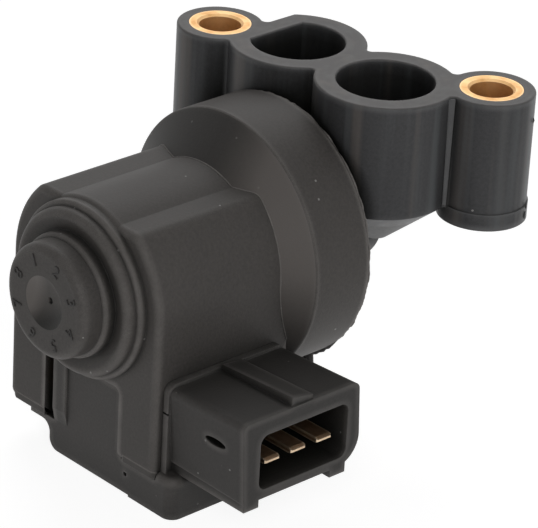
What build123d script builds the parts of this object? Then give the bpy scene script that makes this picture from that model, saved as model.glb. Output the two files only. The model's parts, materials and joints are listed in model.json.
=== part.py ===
from build123d import *
import os
from math import cos, radians, sin, sqrt

# Idle air control valve: a two-winding motor turns a rotary slide that opens one of two ports.
# Millimetres. The port face is z = 0 and the origin lies midway between the two bolts.
# The motor axis runs along y with its front at -y, and the connector points to +x.

# Bolt pattern, brass bushes and the bosses round them
bolt_x = 20.86
bolt_y = 7.9
bush_bore = 6.4
bush_outer = 9.4
bush_chamfer = 0.35
boss_wall = 1.85
boss_length = 20.0
boss_lip_height = 2.6
boss_lip_step = 0.2

# Ports in the flat top face
round_port_x = 9.46
round_port_y = -2.6
round_bore = 14.6
d_port_x = -8.88
d_port_y = -3.0
d_bore = 14.2
d_flat = 4.7
port_wall = 3.3
tube_depth = 17.7
notch_round = 0.8
rim_round = 0.3
floor_slope = 1.2
floor_wall = 2.4
floor_tip = 2.0

# Motor axis, drum and cone
axis_z = -23.34
drum_radius = 20.2
drum_wall = 2.3
drum_rear = -14.1
drum_length = 10.6
drum_edge_round = 0.4
cone_slope = 0.73
cone_wall = 2.5

# Motor body with its shoulders and legs
body_half_width = 16.15
body_offset = -0.25
top_arc_radius = 13.78
shoulder_height = 12.25
shoulder_round = 2.2
body_front = -50.9
body_rear = -26.0
body_wall = 2.4
body_front_round = 0.9
leg_drop = 1.81
leg_round = 1.4

# Stepped boss on the front of the body, as radius and projection from the body
ring_a_radius = 13.35
ring_a_out = 1.25
ring_a_round = 0.5
ring_b_radius = 12.5
ring_b_out = 3.2
ring_b_dish = 0.9
ring_b_round = 1.0
ring_c_radius = 9.3
ring_c_out = 4.2
ring_c_round = 0.55
knob_radius = 8.65
knob_out = 7.65
knob_round = 1.3
dish_radius = 4.0
dish_depth = 1.2
pip_radius = 0.5
pip_depth = 0.5

# Rotor and stator
shaft_radius = 2.5
hub_radius = 5.4
hub_length = 17.2
magnet_radius = 8.9
magnet_length = 15.0
air_gap = 0.35
pole_thickness = 2.75
pole_top_angle = 58.0
pole_bottom_angle = -32.0
stack_front = -45.2
stack_length = 13.0
yoke_drop = 16.4
yoke_thickness = 3.0
thrust_thickness = 0.5
thrust_gap = 0.25

# Bobbin and windings round the yoke
bobbin_wall = 0.7
bobbin_flange = 0.8
winding_thickness = 2.1
winding_round = 1.4

# Bearings and seals
front_bush_radius = 4.5
front_bush_length = 6.0
shaft_end_gap = 0.3
bearing_radius = 8.0
bearing_width = 5.0
bearing_ring_wall = 1.4
bearing_pitch_radius = 5.25
ball_radius = 1.5
ball_count = 7
race_gap = 0.03
cage_wall = 0.7
cage_width = 3.5
retaining_land = 0.6
retaining_thickness = 0.8
retaining_groove = 0.6
retaining_reach = 1.2
retaining_opening = 40.0
seal_length = 3.0
seal_lip = 1.0
seal_ring_section = 1.6
seal_groove_width = 2.2

# Slide chamber and rotary slide
chamber_radius = 7.5
chamber_wall = 1.7
chamber_rear = -2.4
spigot_depth = 8.3
spigot_wall = 2.2
spigot_floor = 2.6
flange_radius = 16.4
flange_thickness = 2.7
slide_wall = 1.1
slide_web = 1.5
slide_hub_radius = 4.0
slide_start_angle = 125.0
slide_span = 60.0
slide_end_gap = 0.5
stop_travel = 28.0
stop_half_angle = 9.0
stop_rib_angle = 10.0
stop_rib_height = 1.6
stop_margin = 2.0
clip_radius = 3.9
clip_thickness = 0.6

# Front panel and base of the connector moulding
panel_left = -6.6
panel_right = 8.0
panel_top = -36.2
panel_recess = 0.45
panel_round = 1.0
panel_flare = 1.6
panel_rib_width = 2.9
panel_rib_fade = 2.2
panel_rib_round = 0.3
slot_width = 1.8
base_left = -7.6
base_right = 19.5
base_height = 5.05
base_depth = 22.5
base_round = 1.8
base_step_round = 1.1
base_flange_width = 4.4
base_flange_height = 0.85
lip_left = 10.2
lip_height = 0.3
pit_x = 9.4
pit_z = -49.6
pit_radius = 0.35
pit_depth = 0.5

# Connector shroud, its three blades and its keys
mouth_x = 32.0
shroud_near = -48.95
shroud_root_near = -49.3
shroud_far = -25.9
shroud_lean = 0.8
shroud_top = -32.4
shroud_bottom = -45.3
shroud_draft = 0.5
shroud_near_round = 1.1
shroud_far_top_round = 1.3
shroud_far_bottom_round = 4.2
pad_thickness = 1.1
pad_front = -49.5
pad_round = 1.5
pad_notch_z = -36.8
pad_notch_height = 0.3
pad_notch_depth = 0.25
socket_middle = -37.05
cavity_width = 16.8
cavity_top = -35.2
cavity_bottom = -43.9
cavity_depth = 11.6
cavity_round = 1.4
pin_pitch = 5.0
pin_z = -40.4
pin_width = 2.8
pin_thickness = 0.8
pin_setback = 1.0
pin_tip = 0.6
pin_bevel = 0.25
pin_corner = 0.2
tail_width = 1.6
tail_length = 1.2
neck_margin = 2.0
neck_height = 4.6
near_foot_width = 2.8
near_foot_inset = 0.85
far_foot_width = 3.0
far_foot_inset = 2.7
foot_height = 1.2
key_width = 4.0
key_offset = -0.55
key_root_height = 0.9
key_mouth_height = 1.4
key_fall = 0.5
key_setback = 0.3
clip_pocket_x = 5.75
clip_pocket_z = -37.4
clip_pocket_length = 4.1
clip_pocket_height = 1.2
clip_pocket_depth = 1.6

# Clearances between pieces
running_fit = 0.03
press_fit = 0.02
seat_fit = 0.1
seam = 0.2
slide_fit = 0.15

# Places and sizes that follow from the values above
boss_places = ((-bolt_x, -bolt_y), (bolt_x, bolt_y))
boss_radius = bush_outer / 2 + boss_wall
round_bore_radius = round_bore / 2
d_bore_radius = d_bore / 2
round_tube_radius = round_bore_radius + port_wall
d_tube_radius = d_bore_radius + port_wall
d_place = (d_port_x, d_port_y)
round_place = (round_port_x, round_port_y)
d_side = d_port_x - d_flat - port_wall
floor_rise = floor_wall * sqrt(1 + floor_slope**2) / floor_slope
bore_floor = floor_rise - tube_depth - port_wall / floor_slope

drum_front = drum_rear - drum_length
drum_bore = drum_radius - drum_wall
spigot_front = drum_rear - spigot_depth
spigot_radius = drum_bore - seat_fit
flange_rear = drum_rear + flange_thickness
cone_shift = cone_wall * sqrt(1 + cone_slope**2)

pole_inner = magnet_radius + air_gap
pole_outer = pole_inner + pole_thickness
rotor_bore = pole_outer + seat_fit
cone_front = drum_front - cone_slope * (drum_radius - rotor_bore)
hollow_radius = drum_bore - cone_wall / 2
hollow_rear = drum_front - cone_slope * (drum_radius - hollow_radius) + cone_shift
cavity_front = body_front + body_wall
cavity_rear = body_rear - body_wall
stack_rear = stack_front + stack_length
stack_middle = (stack_front + stack_rear) / 2
yoke_bottom = yoke_drop + yoke_thickness
coil_length = 2 * (pole_inner - seat_fit)
coil_reach = bobbin_wall + winding_thickness + seat_fit
coil_bottom = axis_z - yoke_bottom - coil_reach
coil_floor = coil_bottom - seam
leg_bottom = coil_floor - leg_drop

knob_front = body_front - knob_out
front_bush_front = cavity_front - front_bush_length
hub_front = cavity_front + thrust_thickness + 2 * thrust_gap
hub_rear = hub_front + hub_length

retaining_front = spigot_front + retaining_land
bearing_front = retaining_front + retaining_thickness
bearing_rear = bearing_front + bearing_width
bearing_middle = (bearing_front + bearing_rear) / 2
seal_rear = bearing_rear + seal_length
bearing_seat = bearing_radius + press_fit
bearing_ring_inner = bearing_radius - bearing_ring_wall
inner_ring_outer = 2 * bearing_pitch_radius - bearing_ring_inner

chamber_front = seal_rear
chamber_end = chamber_rear + chamber_wall
chamber_outer = chamber_radius + chamber_wall
slide_radius = chamber_radius - slide_fit
slide_front = chamber_front + slide_end_gap
slide_rear = chamber_rear - slide_end_gap
slide_hub_rear = slide_rear - clip_thickness - press_fit
stop_offset = stop_half_angle + stop_travel + stop_margin

seal_ring_radius = drum_bore - press_fit - seal_ring_section / 2
seal_ring_middle = drum_rear - spigot_depth / 2
seal_groove_floor = drum_bore - seal_ring_section - 2 * press_fit

body_right = body_half_width + body_offset
wall_outer = body_right + press_fit
pad_outer = wall_outer + pad_thickness
slot_left = panel_left - slot_width
base_front = body_front + panel_recess
base_top = leg_bottom - press_fit
base_bottom = base_top - base_height
base_step_top = shroud_bottom - foot_height
key_near = socket_middle + key_offset - key_width / 2
pin_places = [socket_middle + step * pin_pitch for step in (-1, 0, 1)]
neck_inner = rotor_bore + seat_fit
neck_front = pin_places[0] - pin_width / 2 - neck_margin
neck_rear = pin_places[-1] + pin_width / 2 + neck_margin
neck_top = pin_z + neck_height / 2
neck_bottom = pin_z - neck_height / 2

half_section = Plane(origin=(0, 0, axis_z), x_dir=(0, 1, 0), z_dir=(1, 0, 0))
motor_axis = Axis((0, 0, axis_z), (0, 1, 0))
pin_names = ("front", "middle", "rear")
bush_names = ("left", "right")


def station(y):
    """Plane square to the motor axis, x to the right and z up. It extrudes towards the front."""
    return Plane(origin=(0, y, axis_z), x_dir=(1, 0, 0), z_dir=(0, -1, 0))


def turn(*corners, mode=Mode.ADD):
    """Turns a closed outline of (y, radius) corners about the motor axis."""
    with BuildSketch(half_section) as outline:
        with BuildLine():
            Polyline(*corners, close=True)
        make_face()
    revolve(outline.sketch, motor_axis, mode=mode)


def ring(front, rear, inner, outer, mode=Mode.ADD):
    """Turns a plain ring about the motor axis."""
    turn((front, inner), (front, outer), (rear, outer), (rear, inner), mode=mode)


def block(x_limits, y_limits, z_limits, mode=Mode.ADD):
    """Adds or cuts a block between three pairs of limits."""
    limits = (x_limits, y_limits, z_limits)
    with Locations(tuple(sum(pair) / 2 for pair in limits)):
        Box(*[abs(pair[1] - pair[0]) for pair in limits], mode=mode)


def sector(inner, outer, start, span, front, rear):
    """Adds a piece of a ring between two angles, counted from +x towards +z."""
    with BuildSketch(station(rear)) as outline:
        with BuildLine():
            CenterArc((0, 0), outer, start, span)
            CenterArc((0, 0), inner, start, span)
            for angle in (start, start + span):
                Line(polar(inner, angle), polar(outer, angle))
        make_face()
    extrude(outline.sketch, amount=rear - front)


def polar(radius, angle):
    """Point at an angle in degrees on a circle about the motor axis."""
    return (radius * cos(radians(angle)), radius * sin(radians(angle)))


def yoke_rectangle(start, length, reach, corner=0, mode=Mode.ADD):
    """Block along x that stands out from the yoke by a reach all round, with rounded long edges."""
    with BuildSketch(Plane.YZ.offset(start)) as outline:
        with Locations((stack_middle, axis_z - yoke_drop - yoke_thickness / 2)):
            Rectangle(stack_length + 2 * reach, yoke_thickness + 2 * reach)
        if corner:
            fillet(outline.vertices(), radius=corner)
    extrude(outline.sketch, amount=length, mode=mode)


def funnel(place, radius, top, mode=Mode.ADD):
    """Cone below a port, from a radius at its top down to the tip."""
    with Locations((*place, top)):
        Cone(floor_tip, radius, (radius - floor_tip) / floor_slope, mode=mode,
             align=(Align.CENTER, Align.CENTER, Align.MAX))


def front_plate(left, gap, front, mode=Mode.ADD):
    """Plate in the front wall, a gap inside the edges of its opening, with the two rounded corners."""
    right = panel_right - gap
    top = panel_top - gap
    foot = leg_bottom - gap
    foot_right = right + 2 * panel_flare
    with BuildSketch(Plane.XZ.offset(-cavity_front)) as outline:
        with BuildLine():
            Polyline((left, foot - panel_flare), (left, top), (right, top), (right, foot),
                     (foot_right, foot), (foot_right, foot - panel_flare), close=True)
        make_face()
        fillet(outline.vertices().sort_by_distance((right, top))[0], radius=panel_round)
        fillet(outline.vertices().sort_by_distance((right, foot))[0], radius=panel_flare)
    extrude(outline.sketch, amount=cavity_front - front, mode=mode)


# Valve housing: port tubes, bolt bosses, slide chamber and the spigot that goes into the drum
with BuildPart() as valve_housing:
    # Cone under the D port, cut flat on the same side as its tube
    funnel(d_place, d_tube_radius, -tube_depth)
    block((d_side - d_tube_radius, d_side), (d_port_y - d_tube_radius, d_port_y + d_tube_radius),
          (-2 * tube_depth, 0), mode=Mode.SUBTRACT)
    funnel(round_place, round_tube_radius, -tube_depth)
    # Plan of the tubes and bosses, which run into one another
    with BuildSketch() as plan:
        with Locations(d_place):
            Circle(d_tube_radius)
        with Locations((d_side, d_port_y)):
            Rectangle(d_tube_radius, 2 * d_tube_radius, align=(Align.MAX, Align.CENTER), mode=Mode.SUBTRACT)
        with Locations(round_place):
            Circle(round_tube_radius)
        with Locations(*boss_places):
            Circle(boss_radius)
        fillet(plan.vertices(), radius=notch_round)
    extrude(amount=-tube_depth)
    # Bosses run lower than the tubes and end in a lip
    with BuildSketch(Plane.XY.offset(-tube_depth)):
        with Locations(*boss_places):
            Circle(boss_radius)
    extrude(amount=tube_depth - boss_length)
    with BuildSketch(Plane.XY.offset(-boss_length)):
        with Locations(*boss_places):
            Circle(boss_radius + boss_lip_step)
    extrude(amount=boss_lip_height)
    # Relief where a boss passes the drum
    ring(drum_front, drum_rear + seat_fit, drum_bore, drum_radius + seam, mode=Mode.SUBTRACT)
    # Slide chamber, flange behind the drum and spigot inside it
    turn((chamber_end, 0), (chamber_end, chamber_outer), (flange_rear, chamber_outer),
         (flange_rear, flange_radius), (drum_rear, flange_radius), (drum_rear, spigot_radius),
         (spigot_front, spigot_radius), (spigot_front, 0))
    # Bores of the ports, each with a cone that opens into the chamber
    with BuildSketch():
        with Locations(d_place):
            Circle(d_bore_radius)
        with Locations((d_port_x - d_flat, d_port_y)):
            Rectangle(d_bore_radius, d_bore, align=(Align.MAX, Align.CENTER), mode=Mode.SUBTRACT)
        with Locations(round_place):
            Circle(round_bore_radius)
    extrude(amount=bore_floor, mode=Mode.SUBTRACT)
    funnel(d_place, d_flat, bore_floor, mode=Mode.SUBTRACT)
    funnel(round_place, round_bore_radius, bore_floor, mode=Mode.SUBTRACT)
    fillet(valve_housing.edges().group_by(Axis.Z)[-1], radius=rim_round)
    with BuildSketch():
        with Locations(*boss_places):
            Circle(bush_outer / 2 + press_fit)
    extrude(amount=-boss_length, mode=Mode.SUBTRACT)
    # Seat of the bearing and the shaft seal, then the chamber, then a relief that keeps the walls even
    turn((spigot_front, 0), (spigot_front, bearing_seat), (chamber_front, bearing_seat),
         (chamber_front, chamber_radius), (chamber_rear, chamber_radius), (chamber_rear, 0),
         mode=Mode.SUBTRACT)
    ring(retaining_front, bearing_front, 0, bearing_seat + retaining_groove, mode=Mode.SUBTRACT)
    ring(spigot_front, flange_rear - spigot_floor, bearing_seat + spigot_wall,
         seal_groove_floor - spigot_wall, mode=Mode.SUBTRACT)
    ring(seal_ring_middle - seal_groove_width / 2, seal_ring_middle + seal_groove_width / 2,
         seal_groove_floor, drum_bore, mode=Mode.SUBTRACT)
    # Stops that end the travel of the slide
    for side in (-1, 1):
        sector(chamber_radius - stop_rib_height, chamber_radius + seat_fit,
               side * (stop_offset + stop_rib_angle / 2) - 90 - stop_rib_angle / 2, stop_rib_angle,
               slide_front, slide_front + slide_web)
valve_housing.part.label = "valve_housing"

# Brass bushes that carry the bolt load
bushes = []
for name, place in zip(bush_names, boss_places):
    with BuildPart() as bush:
        with BuildSketch():
            with Locations(place):
                Circle(bush_outer / 2)
                Circle(bush_bore / 2, mode=Mode.SUBTRACT)
        extrude(amount=-boss_length)
        rims = bush.edges().filter_by(GeomType.CIRCLE)
        chamfer(rims.filter_by(lambda edge: edge.radius < bush_outer / 2), length=bush_chamfer)
    bush.part.label = "bush_" + name
    bushes.append(bush.part)

# Motor housing: body, cone, drum and the stepped boss over the front bearing
with BuildPart() as motor_housing:
    # Section of the body: round over the rotor, flat shoulders, straight legs round the coil
    with BuildSketch(station(body_rear)) as section:
        with Locations((body_offset, 0)):
            Circle(body_half_width)
        with Locations((body_offset, shoulder_height)):
            Rectangle(2 * body_half_width, body_half_width, align=(Align.CENTER, Align.MIN),
                      mode=Mode.SUBTRACT)
        with Locations((body_offset, 0)):
            Rectangle(2 * body_half_width, axis_z - leg_bottom + leg_round, align=(Align.CENTER, Align.MAX))
        fillet(section.vertices().group_by(Axis.Y)[-1], radius=shoulder_round)
        Circle(top_arc_radius)
    extrude(amount=body_rear - body_front)
    fillet(motor_housing.faces().sort_by(Axis.Y)[0].edges(), radius=body_front_round)
    # Legs cut off square below, so that their lower front edge stays sharp on the base
    block((-2 * body_half_width, 2 * body_half_width), (body_front, body_rear),
          (leg_bottom, leg_bottom - leg_round), mode=Mode.SUBTRACT)
    fillet(motor_housing.edges().filter_by(Axis.Y).group_by(Axis.Z)[0], radius=leg_round)
    # Drum that takes the valve housing, with the cone in front of it
    turn((drum_rear, 0), (drum_rear, drum_radius), (drum_front, drum_radius), (cone_front, rotor_bore),
         (cone_front, 0))
    fillet(motor_housing.edges().filter_by(GeomType.CIRCLE).filter_by(
        lambda edge: abs(edge.radius - drum_radius) < press_fit), radius=drum_edge_round)
    # Stepped boss and knob over the front bearing
    with BuildSketch(half_section):
        with BuildLine():
            steps = FilletPolyline(
                (cavity_front, ring_a_radius),
                (body_front - ring_a_out, ring_a_radius), (body_front - ring_a_out, ring_b_radius),
                (body_front - ring_b_out, ring_b_radius),
                (body_front - ring_b_out + ring_b_dish, ring_c_radius),
                (body_front - ring_c_out, ring_c_radius), (body_front - ring_c_out, knob_radius),
                (knob_front, knob_radius), (knob_front, dish_radius),
                radius=(ring_a_round, 0, ring_b_round, 0, ring_c_round, 0, knob_round))
            dish = TangentArc((knob_front + dish_depth, 0), steps @ 1, tangent=(0, 1))
            Polyline(dish @ 0, (cavity_front, 0), steps @ 0)
        make_face()
    revolve(axis=motor_axis)
    ring(knob_front, knob_front + dish_depth + pip_depth, 0, pip_radius, mode=Mode.SUBTRACT)
    # Rotor bore, front bearing pocket, hollow of the cone and seat of the spigot
    ring(cavity_front, drum_rear, 0, rotor_bore, mode=Mode.SUBTRACT)
    ring(front_bush_front - shaft_end_gap, cavity_front, 0, front_bush_radius + press_fit, mode=Mode.SUBTRACT)
    turn((cone_front + cone_shift, 0), (cone_front + cone_shift, rotor_bore),
         (hollow_rear, hollow_radius), (spigot_front - seam, hollow_radius), (spigot_front - seam, drum_bore),
         (drum_rear, drum_bore), (drum_rear, 0), mode=Mode.SUBTRACT)
    # Coil box, open below and in front for the connector moulding, and at the side for its neck
    block((-rotor_bore, rotor_bore), (cavity_front, cavity_rear), (axis_z, coil_floor), mode=Mode.SUBTRACT)
    block((slot_left, rotor_bore), (cavity_front, cavity_rear), (coil_floor, leg_bottom), mode=Mode.SUBTRACT)
    front_plate(slot_left, 0, body_front, mode=Mode.SUBTRACT)
    block((rotor_bore, wall_outer), (neck_front - seat_fit, neck_rear + seat_fit),
          (neck_top + seat_fit, neck_bottom - seat_fit), mode=Mode.SUBTRACT)
motor_housing.part.label = "motor_housing"

# Connector moulding: front panel, base, pad on the side wall and the shroud round the blades
with BuildPart() as connector_body:
    # Base below the coil, with the flange that closes the slot
    with BuildSketch(Plane.XZ.offset(-base_front - base_depth)) as base_section:
        with BuildLine():
            Polyline((base_left, base_bottom), (base_right, base_bottom), (base_right, base_top),
                     (base_left - base_flange_width, base_top),
                     (base_left - base_flange_width, base_top - base_flange_height),
                     (base_left, base_top - base_flange_height), close=True)
        make_face()
        fillet(base_section.vertices().filter_by_position(Axis.X, base_left, base_left), radius=base_round)
    extrude(amount=base_depth)
    fillet(connector_body.edges().group_by(Axis.X)[-1].filter_by(Axis.Z), radius=base_round)
    with BuildSketch(Plane.XY.offset(base_bottom - lip_height)) as lip_plan:
        with Locations((lip_left, base_front)):
            Rectangle(base_right - lip_left, base_depth, align=Align.MIN)
        fillet(lip_plan.vertices().group_by(Axis.X)[-1], radius=base_round)
    extrude(amount=lip_height)
    # Step at the side of the base, and the block on it that carries the shroud
    with BuildSketch(Plane.XY.offset(base_top)) as side_plan:
        with Locations((wall_outer, base_front)):
            Rectangle(base_right - wall_outer, base_depth, align=Align.MIN)
        fillet(side_plan.vertices().group_by(Axis.X)[-1], radius=base_round)
    extrude(amount=base_step_top - base_top)
    step_rim = connector_body.faces().sort_by(Axis.Z)[-1].edges()
    fillet(step_rim.filter_by(lambda edge: edge.center().X > wall_outer + press_fit), radius=base_step_round)
    block((wall_outer, base_right - base_round),
          (shroud_near + near_foot_inset, base_front + base_depth - base_round),
          (base_top, shroud_bottom + shroud_draft))
    with BuildSketch(Plane.XZ.offset(-base_front)):
        with Locations((pit_x, pit_z)):
            Circle(pit_radius)
    extrude(amount=-pit_depth, mode=Mode.SUBTRACT)
    # Platform that carries the coil, and the front panel with the raised rib along the slot
    block((slot_left + seat_fit, rotor_bore - seat_fit), (cavity_front + seat_fit, cavity_rear - seat_fit),
          (base_top, coil_floor))
    front_plate(panel_left, seat_fit, base_front)
    with BuildSketch(Plane.YZ.offset(panel_left)):
        with BuildLine():
            Polyline((cavity_front, panel_top - seat_fit), (body_front + press_fit, panel_top - seat_fit),
                     (body_front + press_fit, leg_bottom + panel_rib_fade), (base_front, leg_bottom),
                     (cavity_front, leg_bottom), close=True)
        make_face()
    extrude(amount=panel_rib_width)
    rib_corner = (panel_left + panel_rib_width, body_front, panel_top)
    fillet(connector_body.edges().filter_by(Axis.Z).sort_by_distance(rib_corner)[0], radius=panel_rib_round)
    # Pad on the side wall and the neck that brings the blades through it
    with BuildSketch(Plane.YZ.offset(wall_outer)) as pad:
        with Locations((pad_front, shroud_top)):
            Rectangle(cavity_rear - pad_front, shroud_top - base_step_top, align=(Align.MIN, Align.MAX))
        fillet(pad.vertices().group_by(Axis.X)[0].sort_by(Axis.Y)[-1], radius=pad_round)
    extrude(amount=pad_thickness)
    block((wall_outer, pad_outer), (pad_front, pad_front + pad_notch_depth),
          (pad_notch_z, pad_notch_z - pad_notch_height), mode=Mode.SUBTRACT)
    block((neck_inner, wall_outer), (neck_front, neck_rear), (neck_top, neck_bottom))
    # Shroud with leaning sides and a slight draft, feet along its underside
    for x, near, draft in ((pad_outer, shroud_root_near, shroud_draft), (mouth_x, shroud_near, 0)):
        with BuildSketch(Plane.YZ.offset(x)) as shroud_section:
            with BuildLine():
                Polyline((near, shroud_top - draft),
                         (shroud_far - shroud_lean - draft, shroud_top - draft),
                         (shroud_far - draft, shroud_bottom + draft),
                         (near + shroud_lean, shroud_bottom + draft), close=True)
            make_face()
            fillet(shroud_section.vertices().sort_by(Axis.X)[-1], radius=shroud_far_bottom_round)
            far_top = shroud_section.vertices().sort_by(Axis.Y)[-2:].sort_by(Axis.X)[-1]
            fillet(far_top, radius=shroud_far_top_round)
            fillet(shroud_section.vertices().sort_by(Axis.X)[0], radius=shroud_near_round)
    loft()
    for near, width in ((shroud_near + near_foot_inset, near_foot_width),
                        (shroud_far - far_foot_inset - far_foot_width, far_foot_width)):
        block((wall_outer, mouth_x), (near, near + width),
              (base_step_top, shroud_bottom + shroud_far_bottom_round))
    # Key on the top, which falls away to the far side
    for x, foot, height in ((pad_outer, shroud_top - shroud_draft, key_root_height),
                            (mouth_x - key_setback, shroud_top, key_mouth_height)):
        with BuildSketch(Plane.YZ.offset(x)):
            with BuildLine():
                Polyline((key_near, foot - shroud_near_round), (key_near, foot + height),
                         (key_near + key_width, foot + key_fall * height),
                         (key_near + key_width, foot - shroud_near_round), close=True)
            make_face()
    loft()
    # Socket for the mating plug
    with BuildSketch(Plane.YZ.offset(mouth_x)) as socket:
        with Locations((socket_middle, (cavity_top + cavity_bottom) / 2)):
            Rectangle(cavity_width, cavity_top - cavity_bottom)
        fillet(socket.vertices(), radius=cavity_round)
    extrude(amount=-cavity_depth, mode=Mode.SUBTRACT)
    # Pockets for the spring clip of the plug, one on each side
    for wall_y, inwards in ((shroud_near, -1), (shroud_far, 1)):
        with BuildSketch(Plane.XZ.offset(-wall_y)):
            with Locations((mouth_x - clip_pocket_x, clip_pocket_z)):
                Ellipse(clip_pocket_length / 2, clip_pocket_height / 2)
        extrude(amount=inwards * clip_pocket_depth, mode=Mode.SUBTRACT)
    # Slots that hold the blades
    half_width = pin_width / 2 + press_fit
    half_thickness = pin_thickness / 2 + press_fit
    for y in pin_places:
        block((neck_inner, mouth_x - cavity_depth), (y - half_width, y + half_width),
              (pin_z - half_thickness, pin_z + half_thickness), mode=Mode.SUBTRACT)
connector_body.part.label = "connector_body"

# Blades, with bevelled tips and narrow tails for the winding ends
terminals = []
for name, y in zip(pin_names, pin_places):
    with BuildPart() as terminal:
        block((neck_inner + tail_length, mouth_x - pin_setback), (y - pin_width / 2, y + pin_width / 2),
              (pin_z - pin_thickness / 2, pin_z + pin_thickness / 2))
        tip = terminal.faces().sort_by(Axis.X)[-1]
        chamfer(tip.edges().filter_by(Axis.Z), length=pin_corner)
        tip = terminal.faces().sort_by(Axis.X)[-1]
        chamfer(tip.edges().filter_by(Axis.Y), length=pin_bevel, length2=pin_tip, reference=tip)
        block((neck_inner, neck_inner + tail_length), (y - tail_width / 2, y + tail_width / 2),
              (pin_z - pin_thickness / 2, pin_z + pin_thickness / 2))
    terminal.part.label = "terminal_" + name
    terminals.append(terminal.part)

# Laminated core: two pole shoes, two legs and the yoke that carries the coil
with BuildPart() as stator_core:
    for start in (pole_bottom_angle, 180 - pole_top_angle):
        sector(pole_inner, pole_outer, start, pole_top_angle - pole_bottom_angle, stack_front, stack_rear)
    with BuildSketch(station(stack_rear)):
        for side in (-1, 1):
            with Locations((side * (pole_inner + pole_outer) / 2, 0)):
                Rectangle(pole_thickness, yoke_bottom, align=(Align.CENTER, Align.MAX))
        with Locations((0, -yoke_drop)):
            Rectangle(2 * pole_outer, yoke_thickness, align=(Align.CENTER, Align.MAX))
    extrude(amount=stack_length)
stator_core.part.label = "stator_core"

# Bobbin round the yoke with a flange at each end and one between the windings
with BuildPart() as coil_bobbin:
    yoke_rectangle(-coil_length / 2, coil_length, seat_fit + bobbin_wall)
    for start in (-coil_length / 2, -bobbin_flange / 2, coil_length / 2 - bobbin_flange):
        yoke_rectangle(start, bobbin_flange, coil_reach)
    yoke_rectangle(-coil_length / 2, coil_length, seat_fit, mode=Mode.SUBTRACT)
coil_bobbin.part.label = "coil_bobbin"

# Two windings side by side, one that opens the valve and one that closes it
winding_length = (coil_length - 3 * bobbin_flange) / 2 - 2 * press_fit
windings = []
for name, side in (("opening_winding", -1), ("closing_winding", 1)):
    start = side * (winding_length + bobbin_flange + 2 * press_fit) / 2 - winding_length / 2
    with BuildPart() as winding:
        yoke_rectangle(start, winding_length, coil_reach - seat_fit, corner=winding_round)
        yoke_rectangle(start, winding_length, seat_fit + bobbin_wall + press_fit, mode=Mode.SUBTRACT)
    winding.part.label = name
    windings.append(winding.part)

# Front bearing and the washer that takes the end thrust
with BuildPart() as front_bearing_bush:
    ring(front_bush_front, cavity_front, shaft_radius + running_fit, front_bush_radius)
front_bearing_bush.part.label = "front_bearing_bush"

with BuildPart() as thrust_washer:
    ring(cavity_front + thrust_gap, cavity_front + thrust_gap + thrust_thickness,
         shaft_radius + running_fit, hub_radius)
thrust_washer.part.label = "thrust_washer"

# Rear ball bearing, its retaining ring and the seal behind it
with BuildPart() as bearing_outer_ring:
    ring(bearing_front, bearing_rear, bearing_ring_inner, bearing_radius)
    with Locations(station(bearing_middle)):
        Torus(bearing_pitch_radius, ball_radius + race_gap, mode=Mode.SUBTRACT)
bearing_outer_ring.part.label = "bearing_outer_ring"

with BuildPart() as bearing_inner_ring:
    ring(bearing_front, bearing_rear, shaft_radius + press_fit, inner_ring_outer)
    with Locations(station(bearing_middle)):
        Torus(bearing_pitch_radius, ball_radius + race_gap, mode=Mode.SUBTRACT)
bearing_inner_ring.part.label = "bearing_inner_ring"

with BuildPart() as bearing_cage:
    ring(bearing_middle - cage_width / 2, bearing_middle + cage_width / 2,
         bearing_pitch_radius - cage_wall / 2, bearing_pitch_radius + cage_wall / 2)
    with Locations(station(bearing_middle)):
        with PolarLocations(bearing_pitch_radius, ball_count):
            Cylinder(ball_radius + seat_fit, 2 * ball_radius, rotation=(0, 90, 0), mode=Mode.SUBTRACT)
bearing_cage.part.label = "bearing_cage"

balls = []
for number in range(ball_count):
    across, up = polar(bearing_pitch_radius, number * 360 / ball_count)
    with BuildPart() as ball:
        with Locations((across, bearing_middle, axis_z + up)):
            Sphere(ball_radius)
    ball.part.label = f"bearing_ball_{number + 1}"
    balls.append(ball.part)

with BuildPart() as retaining_ring:
    sector(bearing_radius - retaining_reach, bearing_radius + retaining_groove - press_fit,
           retaining_opening / 2 - 90, 360 - retaining_opening, retaining_front, bearing_front)
retaining_ring.part.label = "retaining_ring"

with BuildPart() as shaft_seal:
    turn((bearing_rear, bearing_ring_inner), (bearing_rear, bearing_radius), (seal_rear, bearing_radius),
         (seal_rear, shaft_radius + running_fit), (seal_rear - seal_lip, shaft_radius + running_fit),
         (seal_rear - seal_lip, bearing_ring_inner))
shaft_seal.part.label = "shaft_seal"

# Seal ring between the spigot and the drum
with BuildPart() as housing_seal:
    with Locations(station(seal_ring_middle)):
        Torus(seal_ring_radius, seal_ring_section / 2)
housing_seal.part.label = "housing_seal"

# Rotor: shaft, hub and ring magnet
with BuildPart() as rotor_shaft:
    ring(front_bush_front, slide_rear, 0, shaft_radius)
rotor_shaft.part.label = "rotor_shaft"

with BuildPart() as magnet_hub:
    ring(hub_front, hub_rear, shaft_radius + press_fit, hub_radius)
magnet_hub.part.label = "magnet_hub"

with BuildPart() as rotor_magnet:
    ring(stack_middle - magnet_length / 2, stack_middle + magnet_length / 2,
         hub_radius + press_fit, magnet_radius)
rotor_magnet.part.label = "rotor_magnet"

# Rotary slide: part of a cylinder on a web, with a lug that meets the stops
with BuildPart() as rotary_slide:
    sector(slide_radius - slide_wall, slide_radius, slide_start_angle, slide_span, slide_front, slide_rear)
    sector(shaft_radius + press_fit, slide_radius, slide_start_angle, slide_span,
           slide_front, slide_front + slide_web)
    sector(shaft_radius + press_fit, chamber_radius - slide_fit, -90 - stop_half_angle, 2 * stop_half_angle,
           slide_front, slide_front + slide_web)
    ring(slide_front, slide_hub_rear, shaft_radius + press_fit, slide_hub_radius)
rotary_slide.part.label = "rotary_slide"

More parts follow.
